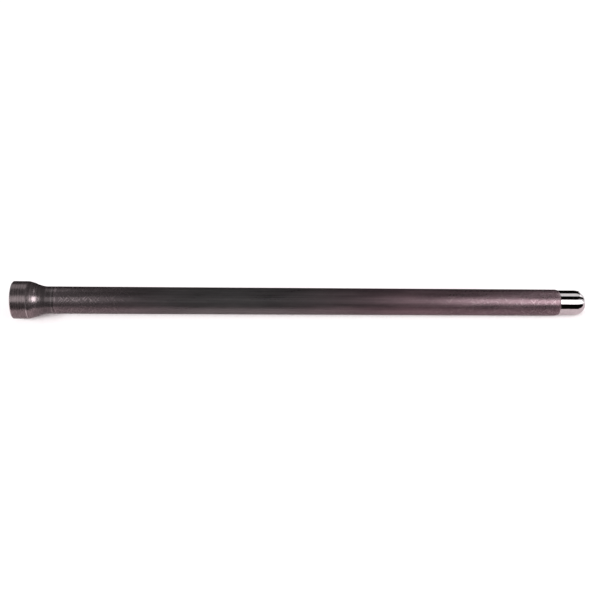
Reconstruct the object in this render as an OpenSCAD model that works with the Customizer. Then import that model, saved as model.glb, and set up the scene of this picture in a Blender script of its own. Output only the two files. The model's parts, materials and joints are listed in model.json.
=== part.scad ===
// Tubular engine pushrod: a drawn steel tube with a turned cup pressed into one end
// and a ground ball pressed into the other. Millimetres, lying on the floor at z = 0
// along x, cup towards -x, as it comes to rest.

/* [Overall] */
// Length of the rod from the rim of the cup to the tip of the ball
rod_length = 271.6; // [180:0.1:420]

/* [Tube] */
// Outer diameter of the tube
tube_od = 12.7; // [11:0.1:15]
// Thickness of the tube's wall
tube_wall = 2.1; // [1.2:0.1:4]
// Length of the rolled edge where the tube meets the ball end
edge_length = 1.6; // [0.6:0.1:4]
// How far the rolled edge closes in at the tube's end face
edge_depth = 0.4; // [0.1:0.05:0.8]

/* [Cup end] */
// Outer diameter of the cup
cup_od = 17.4; // [15.6:0.1:24]
// Length from the rim to the corner where the taper starts
cup_band = 7.6; // [5:0.1:20]
// Angle of the taper against the axis
taper_angle = 23; // [15:1:60]
// Radius that rounds the corner between the band and the taper
shoulder_radius = 3.5; // [0.5:0.1:8]
// Radius of the hollow between the taper and the neck
hollow_radius = 11; // [1:0.5:12]
// Length of the straight neck between the hollow and the tube
neck_length = 3.6; // [0.5:0.1:15]
// Bevel on the outer corner of the rim
rim_bevel = 0.4; // [0.1:0.05:0.8]
// Diameter of the round seat in the cup
seat_d = 12; // [8:0.1:13.5]
// Length of the straight wall between the seat and the mouth
seat_wall = 2; // [0.5:0.1:4]
// Bevel at the mouth of the seat
mouth_bevel = 0.6; // [0.1:0.05:0.8]
// Length of the cup's shank inside the tube
cup_shank = 14; // [4:0.5:30]

/* [Ball end] */
// Diameter of the ball and of its ground stem
ball_d = 11.9; // [9:0.1:14]
// Length of the stem between the tube and the centre of the ball
ball_stem = 8.3; // [1:0.1:20]
// Length of the ball end's shank inside the tube
ball_shank = 14; // [4:0.5:30]

/* [Joints] */
// Bevel on both corners of the butt joint between the neck and the tube
joint_bevel = 0.12; // [0.05:0.01:0.4]
// Bevel at the leading end of each shank
shank_bevel = 0.8; // [0.2:0.1:1.5]

/* [Hidden] */
$fn = 96;

tube_r = tube_od / 2;
bore_r = tube_r - tube_wall;
cup_r = cup_od / 2;
seat_r = seat_d / 2;
ball_r = ball_d / 2;

// Both radii of the neck stay within their half of the taper
taper_slant = (cup_r - tube_r) / sin(taper_angle);
radius_limit = taper_slant / 2 / tan(taper_angle / 2);
shoulder_r = min(shoulder_radius, radius_limit);
hollow_r = min(hollow_radius, radius_limit);
shoulder_reach = shoulder_r * tan(taper_angle / 2);
hollow_reach = hollow_r * tan(taper_angle / 2);

// Places along the rod's own axis, counted from the rim of the cup
seat_centre = mouth_bevel + seat_wall;
shoulder_start = cup_band - shoulder_reach;
taper_end = cup_band + (cup_r - tube_r) / tan(taper_angle);
neck_start = taper_end + hollow_reach;
tube_start = neck_start + neck_length;
ball_centre = rod_length - ball_r;
tube_end = ball_centre - ball_stem;

// The rolled edge is an arc that leaves the tube's side without a corner
edge_r = (pow(edge_length, 2) + pow(edge_depth, 2)) / (2 * edge_depth);
edge_start = tube_end - edge_length;

// At rest the floor touches the round of the shoulder and, at the other end, the round of the
// tube's edge or of the ball, whichever meets it first. This is the angle of the line that
// touches the shoulder and a round of the given radius, centred off the axis at a given place.
function tilt_onto(place, off_axis, radius) =
    let (run = place - shoulder_start, drop = cup_r - shoulder_r - off_axis)
    asin((shoulder_r - radius) / norm([run, drop])) + atan2(drop, run);
rest_tilt = min(tilt_onto(edge_start, tube_r - edge_r, edge_r), tilt_onto(ball_centre, 0, ball_r));
rim_height = shoulder_start * sin(rest_tilt) + (cup_r - shoulder_r) * cos(rest_tilt) + shoulder_r;

// Lays down what was turned about +z, with its middle over the origin
module at_rest() {
    translate([-rod_length / 2 * cos(rest_tilt), 0, rim_height])
        rotate([0, 90 + rest_tilt, 0])
            children();
}

// What an arc takes off a corner, given the corner and the two points where the arc starts and ends
module corner_cut(from, corner, to, centre, radius) {
    difference() {
        polygon([from, corner, to]);
        translate(centre) circle(r = radius);
    }
}

// Section points of a shank that runs from its root towards +1 or -1 along the axis
function shank_points(root, length, towards) =
    let (tip = root + towards * length)
    [
        [bore_r, root],
        [bore_r, tip - towards * shank_bevel],
        [bore_r - shank_bevel, tip],
        [0, tip],
    ];

// Half section of the seat: bevelled mouth, straight wall and round bottom
module seat_section() {
    polygon([[0, 0], [seat_r + mouth_bevel, 0], [seat_r, mouth_bevel], [0, mouth_bevel]]);
    square([seat_r, seat_centre]);
    translate([0, seat_centre]) circle(r = seat_r);
}

// Half section of the cup, its taper, neck and shank
module cup_section() {
    along_taper = [-sin(taper_angle), cos(taper_angle)];
    corner = [cup_r, cup_band];
    round_from = [cup_r, shoulder_start];
    round_to = corner + shoulder_reach * along_taper;
    hollow_from = [tube_r, taper_end] - hollow_reach * along_taper;
    difference() {
        polygon(concat(
            [
                [0, 0],
                [cup_r - rim_bevel, 0],
                [cup_r, rim_bevel],
                corner,
                hollow_from,
                [tube_r, neck_start],
                [tube_r, tube_start - joint_bevel],
                [tube_r - joint_bevel, tube_start],
            ],
            shank_points(tube_start, cup_shank, 1)
        ));
        corner_cut(round_from, corner, round_to, [cup_r - shoulder_r, shoulder_start], shoulder_r);
        translate([tube_r + hollow_r, neck_start]) circle(r = hollow_r);
        seat_section();
    }
}

// Turned cup with its seat, taper, neck and shank
module cup_end() {
    color("#4b4143") at_rest() rotate_extrude() cup_section();
}

// Drawn tube, rolled in a little where it meets the ball end
module tube() {
    edge_from = [tube_r, edge_start];
    edge_corner = [tube_r, tube_end];
    edge_to = [tube_r - edge_depth, tube_end];
    color("#3a3637")
        at_rest()
            rotate_extrude()
                difference() {
                    polygon([
                        [bore_r, tube_start],
                        [tube_r - joint_bevel, tube_start],
                        [tube_r, tube_start + joint_bevel],
                        edge_corner,
                        [bore_r, tube_end],
                    ]);
                    corner_cut(edge_from, edge_corner, edge_to, [tube_r - edge_r, edge_start], edge_r);
                }
}

// Hardened ball with its ground stem and shank
module ball_end() {
    nose_corner = [ball_r, rod_length];
    nose_tip = [0, rod_length];
    color("#c9c4c6")
        at_rest()
            rotate_extrude()
                difference() {
                    polygon(concat(
                        [nose_tip, nose_corner, [ball_r, tube_end]],
                        shank_points(tube_end, ball_shank, -1)
                    ));
                    corner_cut([ball_r, ball_centre], nose_corner, nose_tip, [0, ball_centre], ball_r);
                }
}

tube();
cup_end();
ball_end();
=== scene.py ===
import json
import math

import bmesh
import bpy
from mathutils import Matrix, Vector


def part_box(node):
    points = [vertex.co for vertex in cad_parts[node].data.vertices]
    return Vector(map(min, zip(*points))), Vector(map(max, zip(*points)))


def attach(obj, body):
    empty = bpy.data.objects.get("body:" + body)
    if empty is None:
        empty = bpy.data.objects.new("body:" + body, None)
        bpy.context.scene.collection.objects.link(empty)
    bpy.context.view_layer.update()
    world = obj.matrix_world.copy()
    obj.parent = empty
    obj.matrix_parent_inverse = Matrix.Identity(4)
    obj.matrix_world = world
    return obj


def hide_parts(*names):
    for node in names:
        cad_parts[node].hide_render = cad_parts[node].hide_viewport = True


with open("model.json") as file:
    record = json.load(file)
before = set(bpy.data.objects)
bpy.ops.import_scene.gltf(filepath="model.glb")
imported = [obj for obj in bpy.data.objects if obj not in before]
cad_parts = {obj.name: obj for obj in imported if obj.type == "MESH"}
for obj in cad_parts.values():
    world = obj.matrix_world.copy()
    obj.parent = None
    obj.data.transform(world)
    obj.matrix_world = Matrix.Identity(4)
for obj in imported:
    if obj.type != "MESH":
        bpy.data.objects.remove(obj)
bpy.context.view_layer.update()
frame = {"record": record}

mm = 0.001
scene = bpy.context.scene
scene.view_settings.view_transform = "Standard"


# Small helpers

def hexColour(code):
    # sRGB hex to the linear values that the nodes work in
    channels = [int(code[i:i + 2], 16) / 255 for i in (1, 3, 5)]
    linear = [c / 12.92 if c <= 0.04045 else ((c + 0.055) / 1.055) ** 2.4 for c in channels]
    return (*linear, 1.0)


def addNode(tree, kind, setup=None, inputs=None):
    # one node with its settings; an input is a value, a hex colour, a socket, or a node for its first output
    node = tree.nodes.new(kind)
    for name, value in (setup or {}).items():
        setattr(node, name, value)
    for key, value in (inputs or {}).items():
        if isinstance(value, bpy.types.Node):
            value = next(out for out in value.outputs if out.enabled)
        if isinstance(value, bpy.types.NodeSocket):
            tree.links.new(value, node.inputs[key])
        elif isinstance(value, str) and value.startswith("#"):
            node.inputs[key].default_value = hexColour(value)
        else:
            node.inputs[key].default_value = value
    return node


# settings that many nodes share
add = {"operation": "ADD"}
subtract = {"operation": "SUBTRACT"}
multiply = {"operation": "MULTIPLY"}
divide = {"operation": "DIVIDE"}
larger = {"operation": "MAXIMUM"}
length = {"operation": "LENGTH"}
smooth = {"interpolation_type": "SMOOTHSTEP"}
colours = {"data_type": "RGBA"}
noiseSpan = {"From Min": 0.3, "From Max": 0.7}    # where most of a noise lies
pairSpan = {"From Min": 0.6, "From Max": 1.4}     # and of two noises added up


# Where the rod lies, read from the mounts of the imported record

rod = {
    "mouthBevel": 0.6,                        # mm, as all sizes here
    "jointBevel": 0.06, "edgeBreak": 0.08,    # at the joint, and on every turned corner
    "jointRound": 0.04, "jointFoot": 0.02,    # roundings of that bevel, outside and in the groove
    "endRound": 0.03,                         # where the tube's rolled end meets the stem
    "shankLength": 14, "shankBevel": 0.8,     # what each end has inside the tube
    "tubeWall": 2.1,
    "snug": 0.9994,       # a hair slimmer, because the flats of the CAD rounds set the box
    "soil": "#1d1a1b", "soilRing": {"half": 0.08, "soft": 0.2, "most": 0.15},   # old oil in the joint
}
mounts = {mount["name"]: mount for mount in frame["record"]["mounts"]}
seatMount = mounts["rocker_socket"]
ballMount = mounts["tappet_ball"]
rodAxis = Vector(ballMount["axis"]).normalized()
rodSide = Vector((0, 1, 0))
rodUp = rodAxis.cross(rodSide)
rodTilt = math.asin(-rodAxis.z)
seatRadius = seatMount["dims"]["r_mm"]
seatWall = seatMount["dims"]["length_mm"]
rimPoint = Vector(seatMount["pos_m"]) - rodAxis * (rod["mouthBevel"] + seatWall / 2) * mm

# rod space: x along the rod from the rim, y and z across it, in millimetres
rodToWorld = Matrix.Translation(rimPoint)
rodToWorld @= Matrix((rodAxis, rodSide, rodUp)).transposed().to_4x4()
rodToWorld @= Matrix.Diagonal((mm, mm * rod["snug"], mm * rod["snug"], 1))

ballRadius = ballMount["dims"]["r_mm"]
stemLength = ballMount["dims"]["length_mm"]
ballCentre = (Vector(ballMount["pos_m"]) - rimPoint).dot(rodAxis) / mm + stemLength / 2
tubeEnd = ballCentre - stemLength
rodTip = ballCentre + ballRadius * rod["snug"]
tubeLow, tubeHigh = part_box("tube")
cupLow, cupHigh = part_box("cup_end")
tubeRadius = (tubeHigh.y - tubeLow.y) / 2 / mm
cupRadius = (cupHigh.y - cupLow.y) / 2 / mm
boreRadius = tubeRadius - rod["tubeWall"]
edge = rod["edgeBreak"]
joint = rod["jointBevel"]
print("frame: rod", round(rodTip, 2), "mm, tube", round(2 * tubeRadius, 2), "mm")


# Camera at the photograph's place: from the front and above, its left end a little nearer

camera = {
    "lens": 52.8, "sensor": 36,                    # mm
    "elevation": 50, "pan": 4.2, "roll": -0.305,   # degrees
    "distance": 416.4,                             # mm from the rod
    "aimAlong": 132.8,                             # mm from the rim, the place in the middle of the picture
    "aimAbove": 0.625,                             # mm above the axis, across the view
}


def placeCamera():
    tilt = math.radians(camera["elevation"])
    ahead = Vector((0, math.cos(tilt), -math.sin(tilt)))
    ahead = (ahead - rodAxis * ahead.dot(rodAxis)).normalized()
    pan = math.radians(camera["pan"])
    forward = ahead * math.cos(pan) + rodAxis * math.sin(pan)
    right = rodAxis * math.cos(pan) - ahead * math.sin(pan)
    right = Matrix.Rotation(math.radians(camera["roll"]), 3, forward) @ right
    up = right.cross(forward)
    aim = rimPoint + rodAxis * camera["aimAlong"] * mm + up * camera["aimAbove"] * mm
    data = bpy.data.cameras.new("photoCamera")
    data.sensor_width = camera["sensor"]
    data.lens = camera["lens"]
    item = bpy.data.objects.new("photoCamera", data)
    item.matrix_world = Matrix((right, up, -forward)).transposed().to_4x4()
    item.location = aim - forward * camera["distance"] * mm
    scene.collection.objects.link(item)
    scene.camera = item


placeCamera()
print("camera placed")


# Geometry Nodes tree that turns an outline about the rod's axis, as a lathe does

turning = {
    "arcStep": 5,             # degrees between two points of a rounding
    "bandStep": 0.1, "rimStep": 0.3, "groundStep": 0.5, "plainStep": 2,   # mm between two points of a run
    "closest": 1e-3,          # mm, points of an outline that lie nearer become one
    "mergeWithin": 1e-4,      # mm, closes the seam and the poles
    "uneven": {"Scale": 0.7, "Detail": 2},    # how the depth of feed marks wanders from turn to turn
}


def buildLathe():
    tree = bpy.data.node_groups.new("turnedPiece", "GeometryNodeTree")
    face = tree.interface
    face.new_socket("Outline", in_out="INPUT", socket_type="NodeSocketGeometry")
    face.new_socket("Segments", in_out="INPUT", socket_type="NodeSocketInt")
    face.new_socket("Feed", in_out="INPUT", socket_type="NodeSocketFloat")
    face.new_socket("Feed Depth", in_out="INPUT", socket_type="NodeSocketFloat")
    face.new_socket("Seed", in_out="INPUT", socket_type="NodeSocketInt")
    face.new_socket("Material", in_out="INPUT", socket_type="NodeSocketMaterial")
    face.new_socket("Turned", in_out="OUTPUT", socket_type="NodeSocketGeometry")
    given = tree.nodes.new("NodeGroupInput").outputs

    # a grid with one row for each point of the outline and one column for each step round the axis
    points = addNode(tree, "GeometryNodeAttributeDomainSize", {"component": "MESH"}, {0: given["Outline"]})
    columns = addNode(tree, "ShaderNodeMath", add, {0: given["Segments"], 1: 1})
    grid = addNode(tree, "GeometryNodeMeshGrid", None, {
        "Vertices X": points.outputs["Point Count"], "Vertices Y": columns})
    index = addNode(tree, "GeometryNodeInputIndex")
    share = addNode(tree, "ShaderNodeMath", divide, {0: index, 1: columns})
    row = addNode(tree, "ShaderNodeMath", {"operation": "FLOOR"}, {0: share})
    column = addNode(tree, "ShaderNodeMath", {"operation": "MODULO"}, {0: index, 1: columns})
    step = addNode(tree, "ShaderNodeMath", divide, {0: column, 1: given["Segments"]})
    angle = addNode(tree, "ShaderNodeMath", multiply, {0: step, 1: math.tau})

    # the outline's own point and how far it shows the tool's feed marks
    position = addNode(tree, "GeometryNodeInputPosition")
    place = addNode(tree, "GeometryNodeSampleIndex", {"data_type": "FLOAT_VECTOR", "domain": "POINT"}, {
        "Geometry": given["Outline"], "Value": position, "Index": row})
    marked = addNode(tree, "GeometryNodeInputNamedAttribute", {"data_type": "FLOAT"}, {"Name": "feedMark"})
    mark = addNode(tree, "GeometryNodeSampleIndex", {"data_type": "FLOAT", "domain": "POINT"}, {
        "Geometry": given["Outline"], "Value": marked, "Index": row})
    split = addNode(tree, "ShaderNodeSeparateXYZ", None, {0: place})

    # feed marks: rings as far apart as the tool moves in one turn, no two equally deep
    turns = addNode(tree, "ShaderNodeMath", divide, {0: split.outputs["X"], 1: given["Feed"]})
    phase = addNode(tree, "ShaderNodeMath", multiply, {0: turns, 1: math.tau})
    swing = addNode(tree, "ShaderNodeMath", {"operation": "SINE"}, {0: phase})
    wave = addNode(tree, "ShaderNodeMath", add, {0: swing, 1: 1})
    seeded = addNode(tree, "ShaderNodeCombineXYZ", None, {"X": turns, "Y": given["Seed"]})
    uneven = addNode(tree, "ShaderNodeTexNoise", {"noise_dimensions": "2D"}, {
        "Vector": seeded, **turning["uneven"]})
    depth = addNode(tree, "ShaderNodeMath", multiply, {0: wave, 1: uneven})
    depth = addNode(tree, "ShaderNodeMath", multiply, {0: depth, 1: mark})
    depth = addNode(tree, "ShaderNodeMath", multiply, {0: depth, 1: given["Feed Depth"]})
    radius = addNode(tree, "ShaderNodeMath", subtract, {0: split.outputs["Y"], 1: depth})

    cosine = addNode(tree, "ShaderNodeMath", {"operation": "COSINE"}, {0: angle})
    sine = addNode(tree, "ShaderNodeMath", {"operation": "SINE"}, {0: angle})
    across = addNode(tree, "ShaderNodeMath", multiply, {0: radius, 1: cosine})
    upward = addNode(tree, "ShaderNodeMath", multiply, {0: radius, 1: sine})
    spot = addNode(tree, "ShaderNodeCombineXYZ", None, {"X": split.outputs["X"], "Y": across, "Z": upward})
    turned = addNode(tree, "GeometryNodeSetPosition", None, {"Geometry": grid, "Position": spot})
    closed = addNode(tree, "GeometryNodeMergeByDistance", None, {
        "Geometry": turned, "Distance": turning["mergeWithin"]})
    rounded = addNode(tree, "GeometryNodeSetShadeSmooth", None, {"Geometry": closed})
    real = addNode(tree, "GeometryNodeRealizeInstances", None, {"Geometry": rounded})
    coated = addNode(tree, "GeometryNodeSetMaterial", None, {
        "Geometry": real, "Material": given["Material"]})
    addNode(tree, "NodeGroupOutput", None, {"Turned": coated})
    return tree


latheTree = buildLathe()


def drawOutline(corners):
    # corners are (along, radius, rounding, spacing, marks): the last two hold for the run that follows
    points = []
    marks = []
    arcStep = math.radians(turning["arcStep"])

    def addRun(start, end, spacing, mark):
        pieces = max(1, math.ceil((end - start).length / spacing)) if spacing else 1
        for i in range(pieces + 1):
            spot = start.lerp(end, i / pieces)
            if not points or (spot - points[-1]).length > turning["closest"]:
                points.append(spot)
                marks.append(mark)

    here = Vector(corners[0][:2])
    for i in range(1, len(corners)):
        corner = Vector(corners[i][:2])
        rounding = corners[i][2]
        spacing, mark = corners[i - 1][3:]
        if i + 1 == len(corners) or not rounding:
            addRun(here, corner, spacing, mark)
            here = corner
            continue
        back = (Vector(corners[i - 1][:2]) - corner).normalized()
        ahead = (Vector(corners[i + 1][:2]) - corner).normalized()
        half = back.angle(ahead) / 2
        reach = rounding / math.tan(half)
        centre = corner + (back + ahead).normalized() * rounding / math.sin(half)
        arcFrom = corner + back * reach
        addRun(here, arcFrom, spacing, mark)
        sweep = math.pi - 2 * half
        steps = max(2, math.ceil(sweep / arcStep))
        turn = 1 if back.y * ahead.x > back.x * ahead.y else -1
        for k in range(1, steps + 1):
            spot = arcFrom - centre
            spot.rotate(Matrix.Rotation(turn * sweep * k / steps, 2))
            points.append(centre + spot)
            marks.append(mark if k < steps else corners[i][4])
        here = corner + ahead * reach
    return points, marks


def turnPiece(name, node, corners, lathe, material):
    # turns an outline, lays the plain mesh where the rod lies, and puts it in place of a CAD node
    points, marks = drawOutline(corners)
    outline = bpy.data.meshes.new(name + "Outline")
    outline.from_pydata([(p.x, p.y, 0) for p in points], [(i, i + 1) for i in range(len(points) - 1)], [])
    layer = outline.attributes.new("feedMark", "FLOAT", "POINT")
    layer.data.foreach_set("value", marks)
    piece = bpy.data.objects.new(name, outline)
    scene.collection.objects.link(piece)
    modifier = piece.modifiers.new("lathe", "NODES")
    modifier.node_group = latheTree
    values = {"Segments": lathe["segments"], "Feed": lathe["feed"], "Feed Depth": lathe["feedDepth"],
              "Seed": lathe["seed"], "Material": material}
    # inputs go by the socket's identifier
    for item in latheTree.interface.items_tree:
        if item.name in values and item.in_out == "INPUT":
            modifier[item.identifier] = values[item.name]
    evaluated = piece.evaluated_get(bpy.context.evaluated_depsgraph_get())
    mesh = bpy.data.meshes.new_from_object(evaluated)
    piece.modifiers.clear()
    mesh.transform(rodToWorld)
    shape = bmesh.new()
    shape.from_mesh(mesh)
    bmesh.ops.recalc_face_normals(shape, faces=shape.faces)
    shape.to_mesh(mesh)
    shape.free()
    mesh.name = name
    piece.data = mesh
    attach(piece, "root")
    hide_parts(node)
    print(name, "turned:", len(mesh.polygons), "faces")


# What the three finishes share

def newMaterial(name):
    material = bpy.data.materials.new(name)
    material.use_nodes = True
    material.node_tree.nodes.clear()
    return material, material.node_tree


def rodCoordinates(tree):
    # object coordinates turned so that X runs along the rod from its rim, in millimetres
    spot = addNode(tree, "ShaderNodeTexCoord")
    return addNode(tree, "ShaderNodeMapping", {"vector_type": "TEXTURE"}, {
        "Vector": spot.outputs["Object"], "Location": rimPoint,
        "Rotation": (0, rodTilt, 0), "Scale": (mm, mm, mm)})


def streaks(tree, place, size, reach, twist=0, detail=4):
    # noise drawn out along the rod, size mm across and reach mm long, turned by twist radians a millimetre
    if twist:
        along = addNode(tree, "ShaderNodeSeparateXYZ", None, {0: place})
        turn = addNode(tree, "ShaderNodeMath", multiply, {0: along, 1: twist})
        place = addNode(tree, "ShaderNodeVectorRotate", {"rotation_type": "X_AXIS"}, {
            "Vector": place, "Angle": turn})
    drawn = addNode(tree, "ShaderNodeMapping", None, {
        "Vector": place, "Scale": (1 / reach, 1 / size, 1 / size)})
    return addNode(tree, "ShaderNodeTexNoise", None, {"Vector": drawn, "Scale": 1, "Detail": detail})


def ringMask(tree, along, place, half, soft, most=1.0):
    # most at a place along the rod, nought beyond half a width and its soft edge on either side
    shift = addNode(tree, "ShaderNodeMath", subtract, {0: along, 1: place})
    away = addNode(tree, "ShaderNodeMath", {"operation": "ABSOLUTE"}, {0: shift})
    return addNode(tree, "ShaderNodeMapRange", smooth, {
        "Value": away, "From Min": half, "From Max": half + soft, "To Min": most, "To Max": 0})


# The cup: seat, rim, band, taper, neck and the shank inside the tube

cup = {
    "rimBevel": 0.4, "bandLength": 7.6,       # mm
    "taperAngle": 23, "hollowRadius": 11, "neckLength": 3.6,
    # slope of the surface, in degrees, at places along the rod from the crease to the neck
    "slopes": [(7.0, 0), (7.25, 7.5), (8.0, 13), (8.9, 15), (9.5, 15.5), (9.9, 16.5), (10.3, 21),
               (10.6, 26.5), (10.9, 25.5), (11.3, 18.5), (12.1, 16), (13.3, 14), (14.3, 9), (15.8, 0)],
    "stride": 0.1,                            # mm between two points of the taper
    "bandMarks": 1, "taperMarks": 0.5,        # share of the feed marks that shows
    "lathe": {"segments": 240, "feed": 1.15, "feedDepth": 0.012, "seed": 7},
    "finish": {
        # taper is the colour of a painted highlight on the taper's upper front side
        "band": "#817577", "taper": "#897d80", "neck": "#5e5658", "worn": "#c0b6b8", "seat": "#c2bdbe",
        # marks of the turning tool, in mm round the cup and along it, coarser than real so that they show
        "rings": {"size": 30, "reach": 0.5},
        "blotches": {"size": 2.5, "reach": 2.5, "detail": 3},
        "shade": {"To Min": 0.72, "To Max": 1.28},        # darkest and lightest share of a colour
        "metal": {"To Min": 0.88, "To Max": 0.77},        # the skin is thicker and duller on the neck
        "roughness": {"To Min": 0.24, "To Max": 0.33},    # from ring to ring
        "taperFiner": 0.03, "seatFiner": 0.14,            # how much smoother these two are
        "relief": {"Strength": 0.5, "Distance": 0.01 * mm},
        # a painted highlight, lighter skin on the taper's upper front side: where along the rod, and how far
        # out on which side
        "rubbedRing": {"place": 10.4, "half": 0.5, "soft": 1.4},
        "rubbedSide": (0, -0.64, 0.77), "rubbedReach": {"From Min": 5.4, "From Max": 7.0},
        # worn bright at the rim and a little before the joint, faintly worn at the crease with a painted
        # highlight along its front side, all in patches
        "wornRim": {"place": 0.2, "half": 0.2, "soft": 0.3},
        "wornCrease": {"half": 0.12, "soft": 0.25},
        "wornFront": {"From Min": -5.8, "From Max": -7.6, "To Min": 0.1, "To Max": 1},
        "wornJoint": {"half": 0.15, "soft": 0.35, "most": 0.25}, "beforeJoint": 0.8,
        "patches": {"From Min": 0.35, "From Max": 0.6, "To Min": 0.45, "To Max": 0.95},
        "besideSeat": (0.1, 0.5), "belowSeat": (0.2, 0.6),    # mm past the seat, where its bright steel ends
    },
}
taperEnd = cup["bandLength"] + (cupRadius - tubeRadius) / math.tan(math.radians(cup["taperAngle"]))
neckStart = taperEnd + cup["hollowRadius"] * math.tan(math.radians(cup["taperAngle"] / 2))
tubeStart = neckStart + cup["neckLength"]
seatBottom = rod["mouthBevel"] + seatWall + seatRadius
crease = cup["slopes"][1][0]      # where the turned band ends


def cupSteelMaterial(finish):
    # Turned steel with the tube's dark skin, thinner here: rings left by the tool, corners worn bright,
    # painted highlights on the front of the crease and on the upper front of the taper, and a ground seat
    # that was never coloured
    material, tree = newMaterial("turnedSteelDarkOxide")
    place = rodCoordinates(tree)
    parts = addNode(tree, "ShaderNodeSeparateXYZ", None, {0: place})
    along = parts.outputs["X"]
    across = addNode(tree, "ShaderNodeCombineXYZ", None, {"Y": parts.outputs["Y"], "Z": parts.outputs["Z"]})
    radius = addNode(tree, "ShaderNodeVectorMath", length, {0: across})
    path = addNode(tree, "ShaderNodeMath", subtract, {0: along, 1: radius})   # the tool's way, band and rim
    feed = addNode(tree, "ShaderNodeCombineXYZ", None, {
        "X": path, "Y": parts.outputs["Y"], "Z": parts.outputs["Z"]})
    rings = streaks(tree, feed, **finish["rings"])
    blotch = streaks(tree, place, **finish["blotches"])

    # the skin, its painted highlight on the taper, and its shade from ring to ring
    towardsNeck = addNode(tree, "ShaderNodeMapRange", smooth, {
        "Value": along, "From Min": cup["bandLength"], "From Max": neckStart})
    skin = addNode(tree, "ShaderNodeMix", colours, {0: towardsNeck, 6: finish["band"], 7: finish["neck"]})
    # painted highlight: the skin turns lighter on the taper's upper front side, and smoother there
    taperHighlightMask = ringMask(tree, along, **finish["rubbedRing"])
    sideways = addNode(tree, "ShaderNodeVectorMath", {"operation": "DOT_PRODUCT"}, {
        0: across, 1: finish["rubbedSide"]})
    facesHighlight = addNode(tree, "ShaderNodeMapRange", smooth, {"Value": sideways, **finish["rubbedReach"]})
    taperHighlightMask = addNode(tree, "ShaderNodeMath", multiply, {0: taperHighlightMask, 1: facesHighlight})
    skin = addNode(tree, "ShaderNodeMix", colours, {0: taperHighlightMask, 6: skin, 7: finish["taper"]})
    mixed = addNode(tree, "ShaderNodeMath", add, {0: rings, 1: blotch})
    shade = addNode(tree, "ShaderNodeMapRange", None, {"Value": mixed, **pairSpan, **finish["shade"]})
    skin = addNode(tree, "ShaderNodeVectorMath", {"operation": "SCALE"}, {0: skin, "Scale": shade})

    # worn corners with a painted highlight on the front of the crease, soil in the joint and the bright seat
    # painted highlight: the crease is lightened faintly all round and fully on its front side
    creaseHighlightSide = addNode(tree, "ShaderNodeMapRange", smooth, {
        "Value": parts.outputs["Y"], **finish["wornFront"]})
    worn = ringMask(tree, along, crease, **finish["wornCrease"])
    worn = addNode(tree, "ShaderNodeMath", multiply, {0: worn, 1: creaseHighlightSide})
    wornRim = ringMask(tree, along, **finish["wornRim"])
    wornJoint = ringMask(tree, along, tubeStart - finish["beforeJoint"], **finish["wornJoint"])
    for ring in (wornRim, wornJoint):
        worn = addNode(tree, "ShaderNodeMath", larger, {0: worn, 1: ring})
    patches = addNode(tree, "ShaderNodeMapRange", smooth, {"Value": blotch, **finish["patches"]})
    worn = addNode(tree, "ShaderNodeMath", multiply, {0: worn, 1: patches})
    colour = addNode(tree, "ShaderNodeMix", colours, {0: worn, 6: skin, 7: finish["worn"]})
    soil = ringMask(tree, along, tubeStart, **rod["soilRing"])
    colour = addNode(tree, "ShaderNodeMix", colours, {0: soil, 6: colour, 7: rod["soil"]})
    near, far = (seatBottom + past for past in finish["belowSeat"])
    aboveBottom = addNode(tree, "ShaderNodeMapRange", smooth, {
        "Value": along, "From Min": far, "From Max": near})
    near, far = (seatRadius + past for past in finish["besideSeat"])
    inSeat = addNode(tree, "ShaderNodeMapRange", smooth, {
        "Value": radius, "From Min": far, "From Max": near, "To Max": aboveBottom})
    colour = addNode(tree, "ShaderNodeMix", colours, {0: inSeat, 6: colour, 7: finish["seat"]})

    turned = addNode(tree, "ShaderNodeMapRange", None, {"Value": rings, **noiseSpan, **finish["roughness"]})
    finer = addNode(tree, "ShaderNodeMapRange", None, {"Value": taperHighlightMask, "To Max": finish["taperFiner"]})
    ground = addNode(tree, "ShaderNodeMapRange", None, {"Value": inSeat, "To Max": finish["seatFiner"]})
    smoother = addNode(tree, "ShaderNodeMath", larger, {0: finer, 1: ground})
    rough = addNode(tree, "ShaderNodeMath", subtract, {0: turned, 1: smoother})
    bump = addNode(tree, "ShaderNodeBump", None, {"Height": rings, **finish["relief"]})
    metal = addNode(tree, "ShaderNodeMapRange", None, {"Value": towardsNeck, **finish["metal"]})
    shader = addNode(tree, "ShaderNodeBsdfPrincipled", None, {
        "Base Color": colour, "Metallic": metal, "Roughness": rough, "Normal": bump})
    addNode(tree, "ShaderNodeOutputMaterial", None, {"Surface": shader})
    return material


def taperCurve(settings, fromRadius, toRadius):
    # walks along the taper, its slope going evenly from one place to the next, and ends on the neck
    slopes = settings["slopes"]
    walk = []
    drop = 0
    for (start, slopeStart), (end, slopeEnd) in zip(slopes, slopes[1:]):
        steps = math.ceil((end - start) / settings["stride"])
        for i in range(steps):
            here = slopeStart + (slopeEnd - slopeStart) * (i + 0.5) / steps
            drop += math.tan(math.radians(here)) * (end - start) / steps
            walk.append((start + (end - start) * (i + 1) / steps, drop))
    scale = (fromRadius - toRadius) / drop
    marks = settings["taperMarks"]
    return [(along, fromRadius - lower * scale, 0, None, marks) for along, lower in walk]


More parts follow.
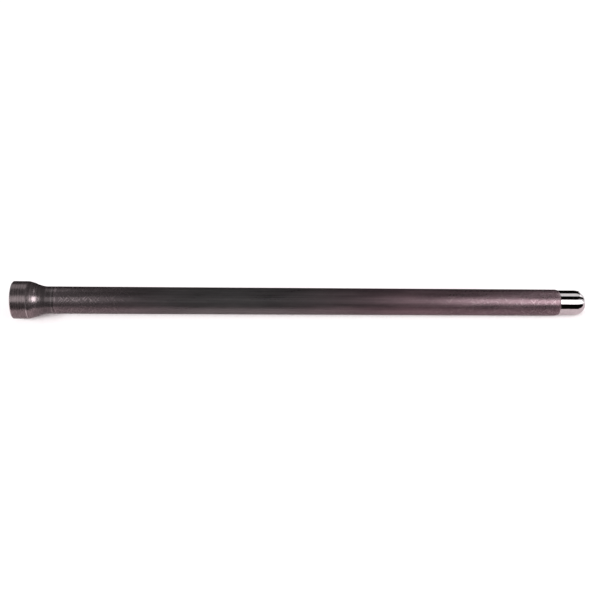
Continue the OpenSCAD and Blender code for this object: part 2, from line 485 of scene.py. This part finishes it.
cupShankEnd = tubeStart + rod["shankLength"]
cupCorners = [
    (seatBottom, 0, 0, None, 0),
    (seatBottom, seatRadius, seatRadius, turning["groundStep"], 0),
    (rod["mouthBevel"], seatRadius, edge, turning["rimStep"], 0),
    (0, seatRadius + rod["mouthBevel"], edge, turning["rimStep"], 0),
    (0, cupRadius - cup["rimBevel"], edge, turning["rimStep"], 0),
    (cup["rimBevel"], cupRadius, edge, turning["bandStep"], cup["bandMarks"]),
    (cup["slopes"][0][0], cupRadius, 0, None, cup["taperMarks"]),
    *taperCurve(cup, cupRadius, tubeRadius),
    (tubeStart - joint, tubeRadius, rod["jointRound"], None, 0),
    (tubeStart, tubeRadius - joint, rod["jointFoot"], None, 0),
    (tubeStart, boreRadius, 0, turning["plainStep"], 0),
    (cupShankEnd - rod["shankBevel"], boreRadius, edge, None, 0),
    (cupShankEnd, boreRadius - rod["shankBevel"], edge, None, 0),
    (cupShankEnd, 0, 0, None, 0),
]
turnPiece("cupTurned", "cup_end", cupCorners, cup["lathe"],
          cupSteelMaterial(cup["finish"]))


# The tube, rolled in a little where it meets the ball

tube = {
    "edgeLength": 1.6, "edgeDepth": 0.4, "edgeSteps": 8,      # mm, and the points of the rolled edge
    "lathe": {"segments": 240, "feed": 1, "feedDepth": 0, "seed": 3},
    "finish": {
        # oxide skin, redder to the ball, and where one colour goes over into the next, in mm from the rim
        "cupSkin": "#6b6164", "middleSkin": "#676465", "ballSkin": "#6d595f",
        "fromCup": {"From Min": 40, "From Max": 90}, "toBall": {"From Min": 105, "From Max": 190},
        # drawing lines and uneven colour, in mm round the tube and along it, coarser than real to show
        "lines": {"size": 0.6, "reach": 40}, "clouds": {"size": 5, "reach": 22, "detail": 2},
        "shade": {"To Min": 0.7, "To Max": 1.3},  # darkest and lightest share of a colour
        "metal": 0.85,
        "stretch": 0.8, "stretchTurn": 0.25,      # the drawing lines spread a highlight round the tube
        "roughness": {"To Min": 0.31, "To Max": 0.345},       # duller towards the ball
        "rolledFrom": 232, "rolledRoughness": 0.29,           # smoother where it was rolled over the shank
        "grainRoughness": {"To Min": -0.05, "To Max": 0.05},
        # crossing marks where handling has rubbed the skin thin, most of them beside the cup and the ball
        "burnished": "#a39699",
        "marks": {"size": 0.9, "reach": 2.2, "detail": 2}, "markTwist": 0.16,   # mm, radians a millimetre
        "markLimits": {"From Min": 0.55, "From Max": 0.66},   # noise where a mark begins, and is full
        "nearCup": {"From Min": 38, "From Max": 60, "To Min": 0.9, "To Max": 0.1},
        "nearBall": {"From Min": 178, "From Max": 214, "To Min": 0.1, "To Max": 0.68},
        "markColour": 0.33, "markShine": 0.1,     # share of bare steel in a mark, and its shine
        "wornJoint": {"half": 0.15, "soft": 0.35, "most": 0.8}, "pastJoint": 0.85,
        "dents": {"size": 1.3, "reach": 2.6, "twist": 0.12, "detail": 2},
        "dentDepth": 3.4,                         # times a drawing line
        "relief": {"Strength": 1.0, "Distance": 0.01 * mm},
    },
}


def tubeSteelMaterial(finish):
    # Drawn steel tube, hardened and left with its thin dark oxide skin: dull dark grey, a little purple
    # towards the ball, with faint lengthwise drawing lines and slanting marks from handling near both ends
    material, tree = newMaterial("drawnSteelDarkOxide")
    place = rodCoordinates(tree)
    along = addNode(tree, "ShaderNodeSeparateXYZ", None, {0: place})
    lines = streaks(tree, place, **finish["lines"])
    cloud = streaks(tree, place, **finish["clouds"])
    grain = addNode(tree, "ShaderNodeMath", add, {0: lines, 1: cloud})

    # where the marks are
    nearCup = addNode(tree, "ShaderNodeMapRange", smooth, {"Value": along, **finish["nearCup"]})
    nearBall = addNode(tree, "ShaderNodeMapRange", smooth, {"Value": along, **finish["nearBall"]})
    handled = addNode(tree, "ShaderNodeMath", larger, {0: nearCup, 1: nearBall})
    oneWay = streaks(tree, place, twist=finish["markTwist"], **finish["marks"])
    otherWay = streaks(tree, place, twist=-finish["markTwist"], **finish["marks"])
    crossed = addNode(tree, "ShaderNodeMath", larger, {0: oneWay, 1: otherWay})
    burnished = addNode(tree, "ShaderNodeMapRange", smooth, {
        "Value": crossed, **finish["markLimits"], "To Max": handled})
    wornJoint = ringMask(tree, along, tubeStart + finish["pastJoint"], **finish["wornJoint"])
    burnished = addNode(tree, "ShaderNodeMath", larger, {0: burnished, 1: wornJoint})

    # the skin from the cup to the ball, its marks, and soil in the joint
    fromCup = addNode(tree, "ShaderNodeMapRange", smooth, {"Value": along, **finish["fromCup"]})
    toBall = addNode(tree, "ShaderNodeMapRange", smooth, {"Value": along, **finish["toBall"]})
    skin = addNode(tree, "ShaderNodeMix", colours, {
        0: fromCup, 6: finish["cupSkin"], 7: finish["middleSkin"]})
    skin = addNode(tree, "ShaderNodeMix", colours, {0: toBall, 6: skin, 7: finish["ballSkin"]})
    shade = addNode(tree, "ShaderNodeMapRange", None, {"Value": grain, **pairSpan, **finish["shade"]})
    skin = addNode(tree, "ShaderNodeVectorMath", {"operation": "SCALE"}, {0: skin, "Scale": shade})
    thin = addNode(tree, "ShaderNodeMath", multiply, {0: burnished, 1: finish["markColour"]})
    colour = addNode(tree, "ShaderNodeMix", colours, {0: thin, 6: skin, 7: finish["burnished"]})
    soil = ringMask(tree, along, tubeStart, **rod["soilRing"])
    colour = addNode(tree, "ShaderNodeMix", colours, {0: soil, 6: colour, 7: rod["soil"]})

    dull = addNode(tree, "ShaderNodeMapRange", None, {"Value": toBall, **finish["roughness"]})
    rolled = addNode(tree, "ShaderNodeMapRange", None, {
        "Value": along, "From Min": finish["rolledFrom"], "From Max": tubeEnd,
        "To Min": dull, "To Max": finish["rolledRoughness"]})
    drawn = addNode(tree, "ShaderNodeMapRange", None, {
        "Value": grain, **pairSpan, **finish["grainRoughness"]})
    rough = addNode(tree, "ShaderNodeMath", add, {0: rolled, 1: drawn})
    shiny = addNode(tree, "ShaderNodeMath", multiply, {0: burnished, 1: finish["markShine"]})
    rough = addNode(tree, "ShaderNodeMath", subtract, {0: rough, 1: shiny})

    dents = streaks(tree, place, **finish["dents"])
    knocks = addNode(tree, "ShaderNodeMath", multiply, {0: dents, 1: handled})
    deeper = addNode(tree, "ShaderNodeMath", multiply, {0: knocks, 1: finish["dentDepth"]})
    height = addNode(tree, "ShaderNodeMath", add, {0: lines, 1: deeper})
    bump = addNode(tree, "ShaderNodeBump", None, {"Height": height, **finish["relief"]})
    grainWay = addNode(tree, "ShaderNodeCombineXYZ", None, {i: rodAxis[i] for i in range(3)})
    shader = addNode(tree, "ShaderNodeBsdfPrincipled", None, {
        "Base Color": colour, "Metallic": finish["metal"], "Roughness": rough, "Normal": bump,
        "Anisotropic": finish["stretch"], "Anisotropic Rotation": finish["stretchTurn"],
        "Tangent": grainWay})
    addNode(tree, "ShaderNodeOutputMaterial", None, {"Surface": shader})
    return material


edgeArcRadius = (tube["edgeLength"] ** 2 + tube["edgeDepth"] ** 2) / (2 * tube["edgeDepth"])
edgeSweep = math.asin(tube["edgeLength"] / edgeArcRadius)
edgeStart = tubeEnd - tube["edgeLength"]
edgePoints = []
for i in range(1, tube["edgeSteps"] + 1):
    angle = edgeSweep * i / tube["edgeSteps"]
    edgeAlong = edgeStart + edgeArcRadius * math.sin(angle)
    inward = edgeArcRadius * (1 - math.cos(angle))
    rounding = rod["endRound"] if i == tube["edgeSteps"] else 0
    edgePoints.append((edgeAlong, tubeRadius - inward, rounding, None, 0))
tubeCorners = [
    (tubeStart, boreRadius, 0, None, 0),
    (tubeStart, tubeRadius - joint, rod["jointFoot"], None, 0),
    (tubeStart + joint, tubeRadius, rod["jointRound"], turning["plainStep"], 0),
    (edgeStart, tubeRadius, 0, None, 0),
    *edgePoints,
    (tubeEnd, boreRadius, 0, turning["plainStep"], 0),
    (tubeStart, boreRadius, 0, None, 0),
]
turnPiece("tubeTurned", "tube", tubeCorners, tube["lathe"],
          tubeSteelMaterial(tube["finish"]))


# The ball with its ground stem and the shank inside the tube

ball = {
    "lathe": {"segments": 240, "feed": 1, "feedDepth": 0, "seed": 5},
    "finish": {
        "steel": "#cdc8ca", "shadow": "#bdb7b9",
        "roughness": {"To Min": 0.04, "To Max": 0.08},    # from ring to ring
        # grinding marks, in mm round the ball and along it, coarser than real so that they show
        "rings": {"size": 30, "reach": 0.25, "detail": 3},
    },
}


def ballSteelMaterial(finish):
    # Bearing steel, ground and lapped: a mirror with hair-fine grinding rings
    material, tree = newMaterial("lappedBearingSteel")
    grinding = streaks(tree, rodCoordinates(tree), **finish["rings"])
    clean = addNode(tree, "ShaderNodeMapRange", smooth, {"Value": grinding, **noiseSpan})
    colour = addNode(tree, "ShaderNodeMix", colours, {0: clean, 6: finish["shadow"], 7: finish["steel"]})
    rough = addNode(tree, "ShaderNodeMapRange", None, {
        "Value": grinding, **noiseSpan, **finish["roughness"]})
    shader = addNode(tree, "ShaderNodeBsdfPrincipled", None, {
        "Base Color": colour, "Metallic": 1.0, "Roughness": rough})
    addNode(tree, "ShaderNodeOutputMaterial", None, {"Surface": shader})
    return material


ballShankEnd = tubeEnd - rod["shankLength"]
ballCorners = [
    (ballShankEnd, 0, 0, None, 0),
    (ballShankEnd, boreRadius - rod["shankBevel"], edge, None, 0),
    (ballShankEnd + rod["shankBevel"], boreRadius, edge, None, 0),
    (tubeEnd, boreRadius, 0, None, 0),
    (tubeEnd, ballRadius, rod["endRound"], turning["groundStep"], 0),
    (rodTip, ballRadius, ballRadius, None, 0),
    (rodTip, 0, 0, None, 0),
]
turnPiece("ballTurned", "ball_end", ballCorners, ball["lathe"],
          ballSteelMaterial(ball["finish"]))


# Stage: a pale board, white surround, soft panels and the dark cards between them

board = {
    "size": 16,                   # m
    "mirrored": "#dccdd0",        # a little pink, as the metal shows it
    "seen": "#827f80",            # what the camera sees of it under the lamps, besides the glow
    "glow": "#fffafb", "shut": "#f2ced6",     # its own glow in the open, and the pink of that glow's painted shadow in the gap under the rod
    # strength of that glow, by metres from the middle
    "lift": {"From Min": 0.3, "From Max": 1.5, "To Min": 0.88, "To Max": 1.0},
    "openSide": (-0.8, -0.35, 0.5),           # the painted shadow falls as if the gap got most of its light from the left and the front
    "gapReach": 0.012, "gapSamples": 8,       # m, and rays that feel for the rod
    "gapLimits": {"From Min": 0.44, "From Max": 0.59},    # share of open rays where the painted shadow is full, and where it ends
    "stripHeight": 0.0005,                    # m, of the strips that lie on it
}
room = {"To Min": 0.15, "To Max": 1.0}        # strength of the white surround, as light and as it is seen


def buildFloor():
    # Matt painted board: white to the camera, with the rod's soft shadow from the lamps and a painted pink
    # shadow in its glow near the rod
    material, tree = newMaterial("paleBoard")
    ray = addNode(tree, "ShaderNodeLightPath")
    cameraRay = ray.outputs["Is Camera Ray"]
    paint = addNode(tree, "ShaderNodeMix", colours, {0: cameraRay, 6: board["mirrored"], 7: board["seen"]})
    plain = addNode(tree, "ShaderNodeBsdfDiffuse", None, {"Color": paint})
    spot = addNode(tree, "ShaderNodeTexCoord")
    away = addNode(tree, "ShaderNodeVectorMath", length, {0: spot.outputs["Object"]})
    lift = addNode(tree, "ShaderNodeMapRange", smooth, {"Value": away, **board["lift"]})
    towards = addNode(tree, "ShaderNodeCombineXYZ", None, dict(enumerate(board["openSide"])))
    # painted shadow: the camera-only glow fades and turns pink where the rod shuts off the rays
    gap = addNode(tree, "ShaderNodeAmbientOcclusion", {"samples": board["gapSamples"]}, {
        "Distance": board["gapReach"], "Normal": towards})
    outsidePaintedShadow = addNode(tree, "ShaderNodeMapRange", smooth, {"Value": gap.outputs["AO"], **board["gapLimits"]})
    lift = addNode(tree, "ShaderNodeMath", multiply, {0: outsidePaintedShadow, 1: lift})
    lift = addNode(tree, "ShaderNodeMath", multiply, {0: cameraRay, 1: lift})
    tint = addNode(tree, "ShaderNodeMix", colours, {0: outsidePaintedShadow, 6: board["shut"], 7: board["glow"]})
    glow = addNode(tree, "ShaderNodeEmission", None, {"Color": tint, "Strength": lift})
    both = addNode(tree, "ShaderNodeAddShader", None, {0: plain, 1: glow})
    addNode(tree, "ShaderNodeOutputMaterial", None, {"Surface": both})
    bpy.ops.mesh.primitive_plane_add(size=board["size"])
    floor = bpy.context.object
    floor.name = "floor"
    floor.data.materials.append(material)


def buildWorld():
    world = bpy.data.worlds.new("whiteRoom")
    world.use_nodes = True
    tree = world.node_tree
    tree.nodes.clear()
    ray = addNode(tree, "ShaderNodeLightPath")
    seen = ray.outputs["Is Camera Ray"]
    for kind in ("Is Glossy Ray", "Is Transmission Ray"):
        seen = addNode(tree, "ShaderNodeMath", larger, {0: seen, 1: ray.outputs[kind]})
    strength = addNode(tree, "ShaderNodeMapRange", None, {"Value": seen, **room})
    surround = addNode(tree, "ShaderNodeBackground", None, {"Color": "#ffffff", "Strength": strength})
    addNode(tree, "ShaderNodeOutputWorld", None, {"Surface": surround})
    scene.world = world


# What the metal mirrors: soft panels, which are lamps, and dark or white cards. Those with angles stand
# round the rod at a range, between two angles counted in degrees from the front horizon up and over.
# The flat ones lie between two distances across the rod, on the floor or at a height, and a slant carries
# their far edge to the right. Each covers a stretch along the rod, and one card closes the far end.
# All of that is in metres. Glow is the brightness that a mirror would show.
panels = {
    "keySoftbox": {"angles": (38.2, 74.8), "along": (0.31, 1.7), "range": 0.9, "glow": 5.7},
    "middleSoftbox": {"angles": (42, 72), "along": (-0.12, 0.31), "range": 0.9, "glow": 0.28},
    "leftSoftbox": {"angles": (38, 73), "along": (-1.0, -0.22), "range": 0.9, "glow": 1.4},
    "backRightSoftbox": {"angles": (112.5, 145), "along": (0.42, 1.7), "range": 0.9, "glow": 1.08},
    "backLeftSoftbox": {"angles": (122, 158), "along": (-0.9, -0.27), "range": 0.9, "glow": 0.8},
    "topLight": {"angles": (60, 120), "along": (-0.6, 0.6), "range": 0.95, "glow": 1.5, "mirrored": False},
}
dark = "#0b0a0a"
white = "#ffffff"
cards = {
    "frontCard": {"angles": (-2, 40), "along": (-3, 2.8), "range": 1.0, "shade": dark},
    "middleCard": {"angles": (33, 80), "along": (-3, 1.7), "range": 1.0, "shade": dark},
    "farKeyCard": {"angles": (38.2, 74.8), "along": (1.7, 8), "range": 0.9, "shade": white, "glow": 2.0},
    "overheadCard": {"angles": (70, 114), "along": (-3, 0.6), "range": 1.0, "shade": dark},
    "backCard": {"angles": (114, 182), "along": (-3, 1.0), "range": 1.0, "shade": dark},
    "tailStrip": {"flat": (-0.05, 1.5), "along": (-0.2, 0.43), "slant": 2.75, "height": 0.5, "shade": dark},
    "tailEdge": {"flat": (-0.05, 1.5), "along": (-0.37, 0.58), "slant": 4.55, "height": 0.49, "shade": dark},
    "rightCard": {"end": 9, "size": 8, "shade": white},
    "frontStrip": {"flat": (-1.0, -0.043), "along": (-0.128, 2.8), "shade": dark},
    "cupStrip": {"flat": (-1.0, -0.062), "along": (-3, -0.128), "shade": dark},
    # painted shadow: two dark strips just behind the rod stand for its shadow on the floor, as the metal
    # mirrors it
    "backLeftStrip": {"flat": (0.012, 1.0), "along": (-3, -0.05), "slant": 0.6, "shade": dark},
    "backRightStrip": {"flat": (0.006, 1.0), "along": (-0.05, 0.132), "slant": 0.6, "shade": dark},
    "noseStrip": {"flat": (-0.003, 1.0), "along": (0.132, 7), "slant": 0.6, "shade": white, "glow": 1.7},
}


def stagePlace(settings):
    # the place of a panel or card, its width along the rod and its height
    if "end" in settings:
        spot = Vector((settings["end"], 0, settings["size"] / 2))
        upright = Matrix.Rotation(math.radians(90), 4, "Y")
        return Matrix.Translation(spot) @ upright, settings["size"], settings["size"]
    width = settings["along"][1] - settings["along"][0]
    if "flat" in settings:
        near, far = settings["flat"]
        slanted = Matrix.Identity(4)
        slanted[0][1] = settings.get("slant", 0)   # its ends run off to the right, away from the camera
        height = settings.get("height", board["stripHeight"])
        spot = Vector((sum(settings["along"]) / 2, (near + far) / 2, height))
        return slanted @ Matrix.Translation(spot), width, far - near
    low, high = (math.radians(a) for a in settings["angles"])
    middle = (low + high) / 2
    towards = Vector((0, -math.cos(middle), math.sin(middle)))
    centre = towards * settings["range"]
    centre.x = sum(settings["along"]) / 2
    height = 2 * settings["range"] * math.tan((high - low) / 2)
    sideways = Vector((1, 0, 0))
    facing = Matrix((sideways, towards.cross(sideways), towards)).transposed()
    return Matrix.Translation(centre) @ facing.to_4x4(), width, height


def buildPanel(name, settings):
    place, width, height = stagePlace(settings)
    lamp = bpy.data.lights.new(name, "AREA")
    lamp.shape = "RECTANGLE"
    lamp.size = width
    lamp.size_y = height
    lamp.energy = settings["glow"] * math.pi * width * height
    item = bpy.data.objects.new(name, lamp)
    item.matrix_world = place
    item.visible_camera = False
    item.visible_glossy = settings.get("mirrored", True)
    scene.collection.objects.link(item)


def buildCard(name, settings):
    # Stretched cloth, or a dark strip that stands for a painted shadow, seen only in the metal: it takes no
    # part in light or shadow
    place, width, height = stagePlace(settings)
    material, tree = newMaterial(name + "Cloth")
    shader = addNode(tree, "ShaderNodeEmission", None, {
        "Color": settings["shade"], "Strength": settings.get("glow", 1)})
    addNode(tree, "ShaderNodeOutputMaterial", None, {"Surface": shader})
    bpy.ops.mesh.primitive_plane_add(size=1)
    card = bpy.context.object
    card.name = name
    card.data.transform(place @ Matrix.Diagonal((width, height, 1, 1)))
    card.data.materials.append(material)
    card.visible_camera = False
    card.visible_diffuse = False
    card.visible_shadow = False


buildFloor()
buildWorld()
for name, settings in panels.items():
    buildPanel(name, settings)
for name, settings in cards.items():
    buildCard(name, settings)
print("stage built")
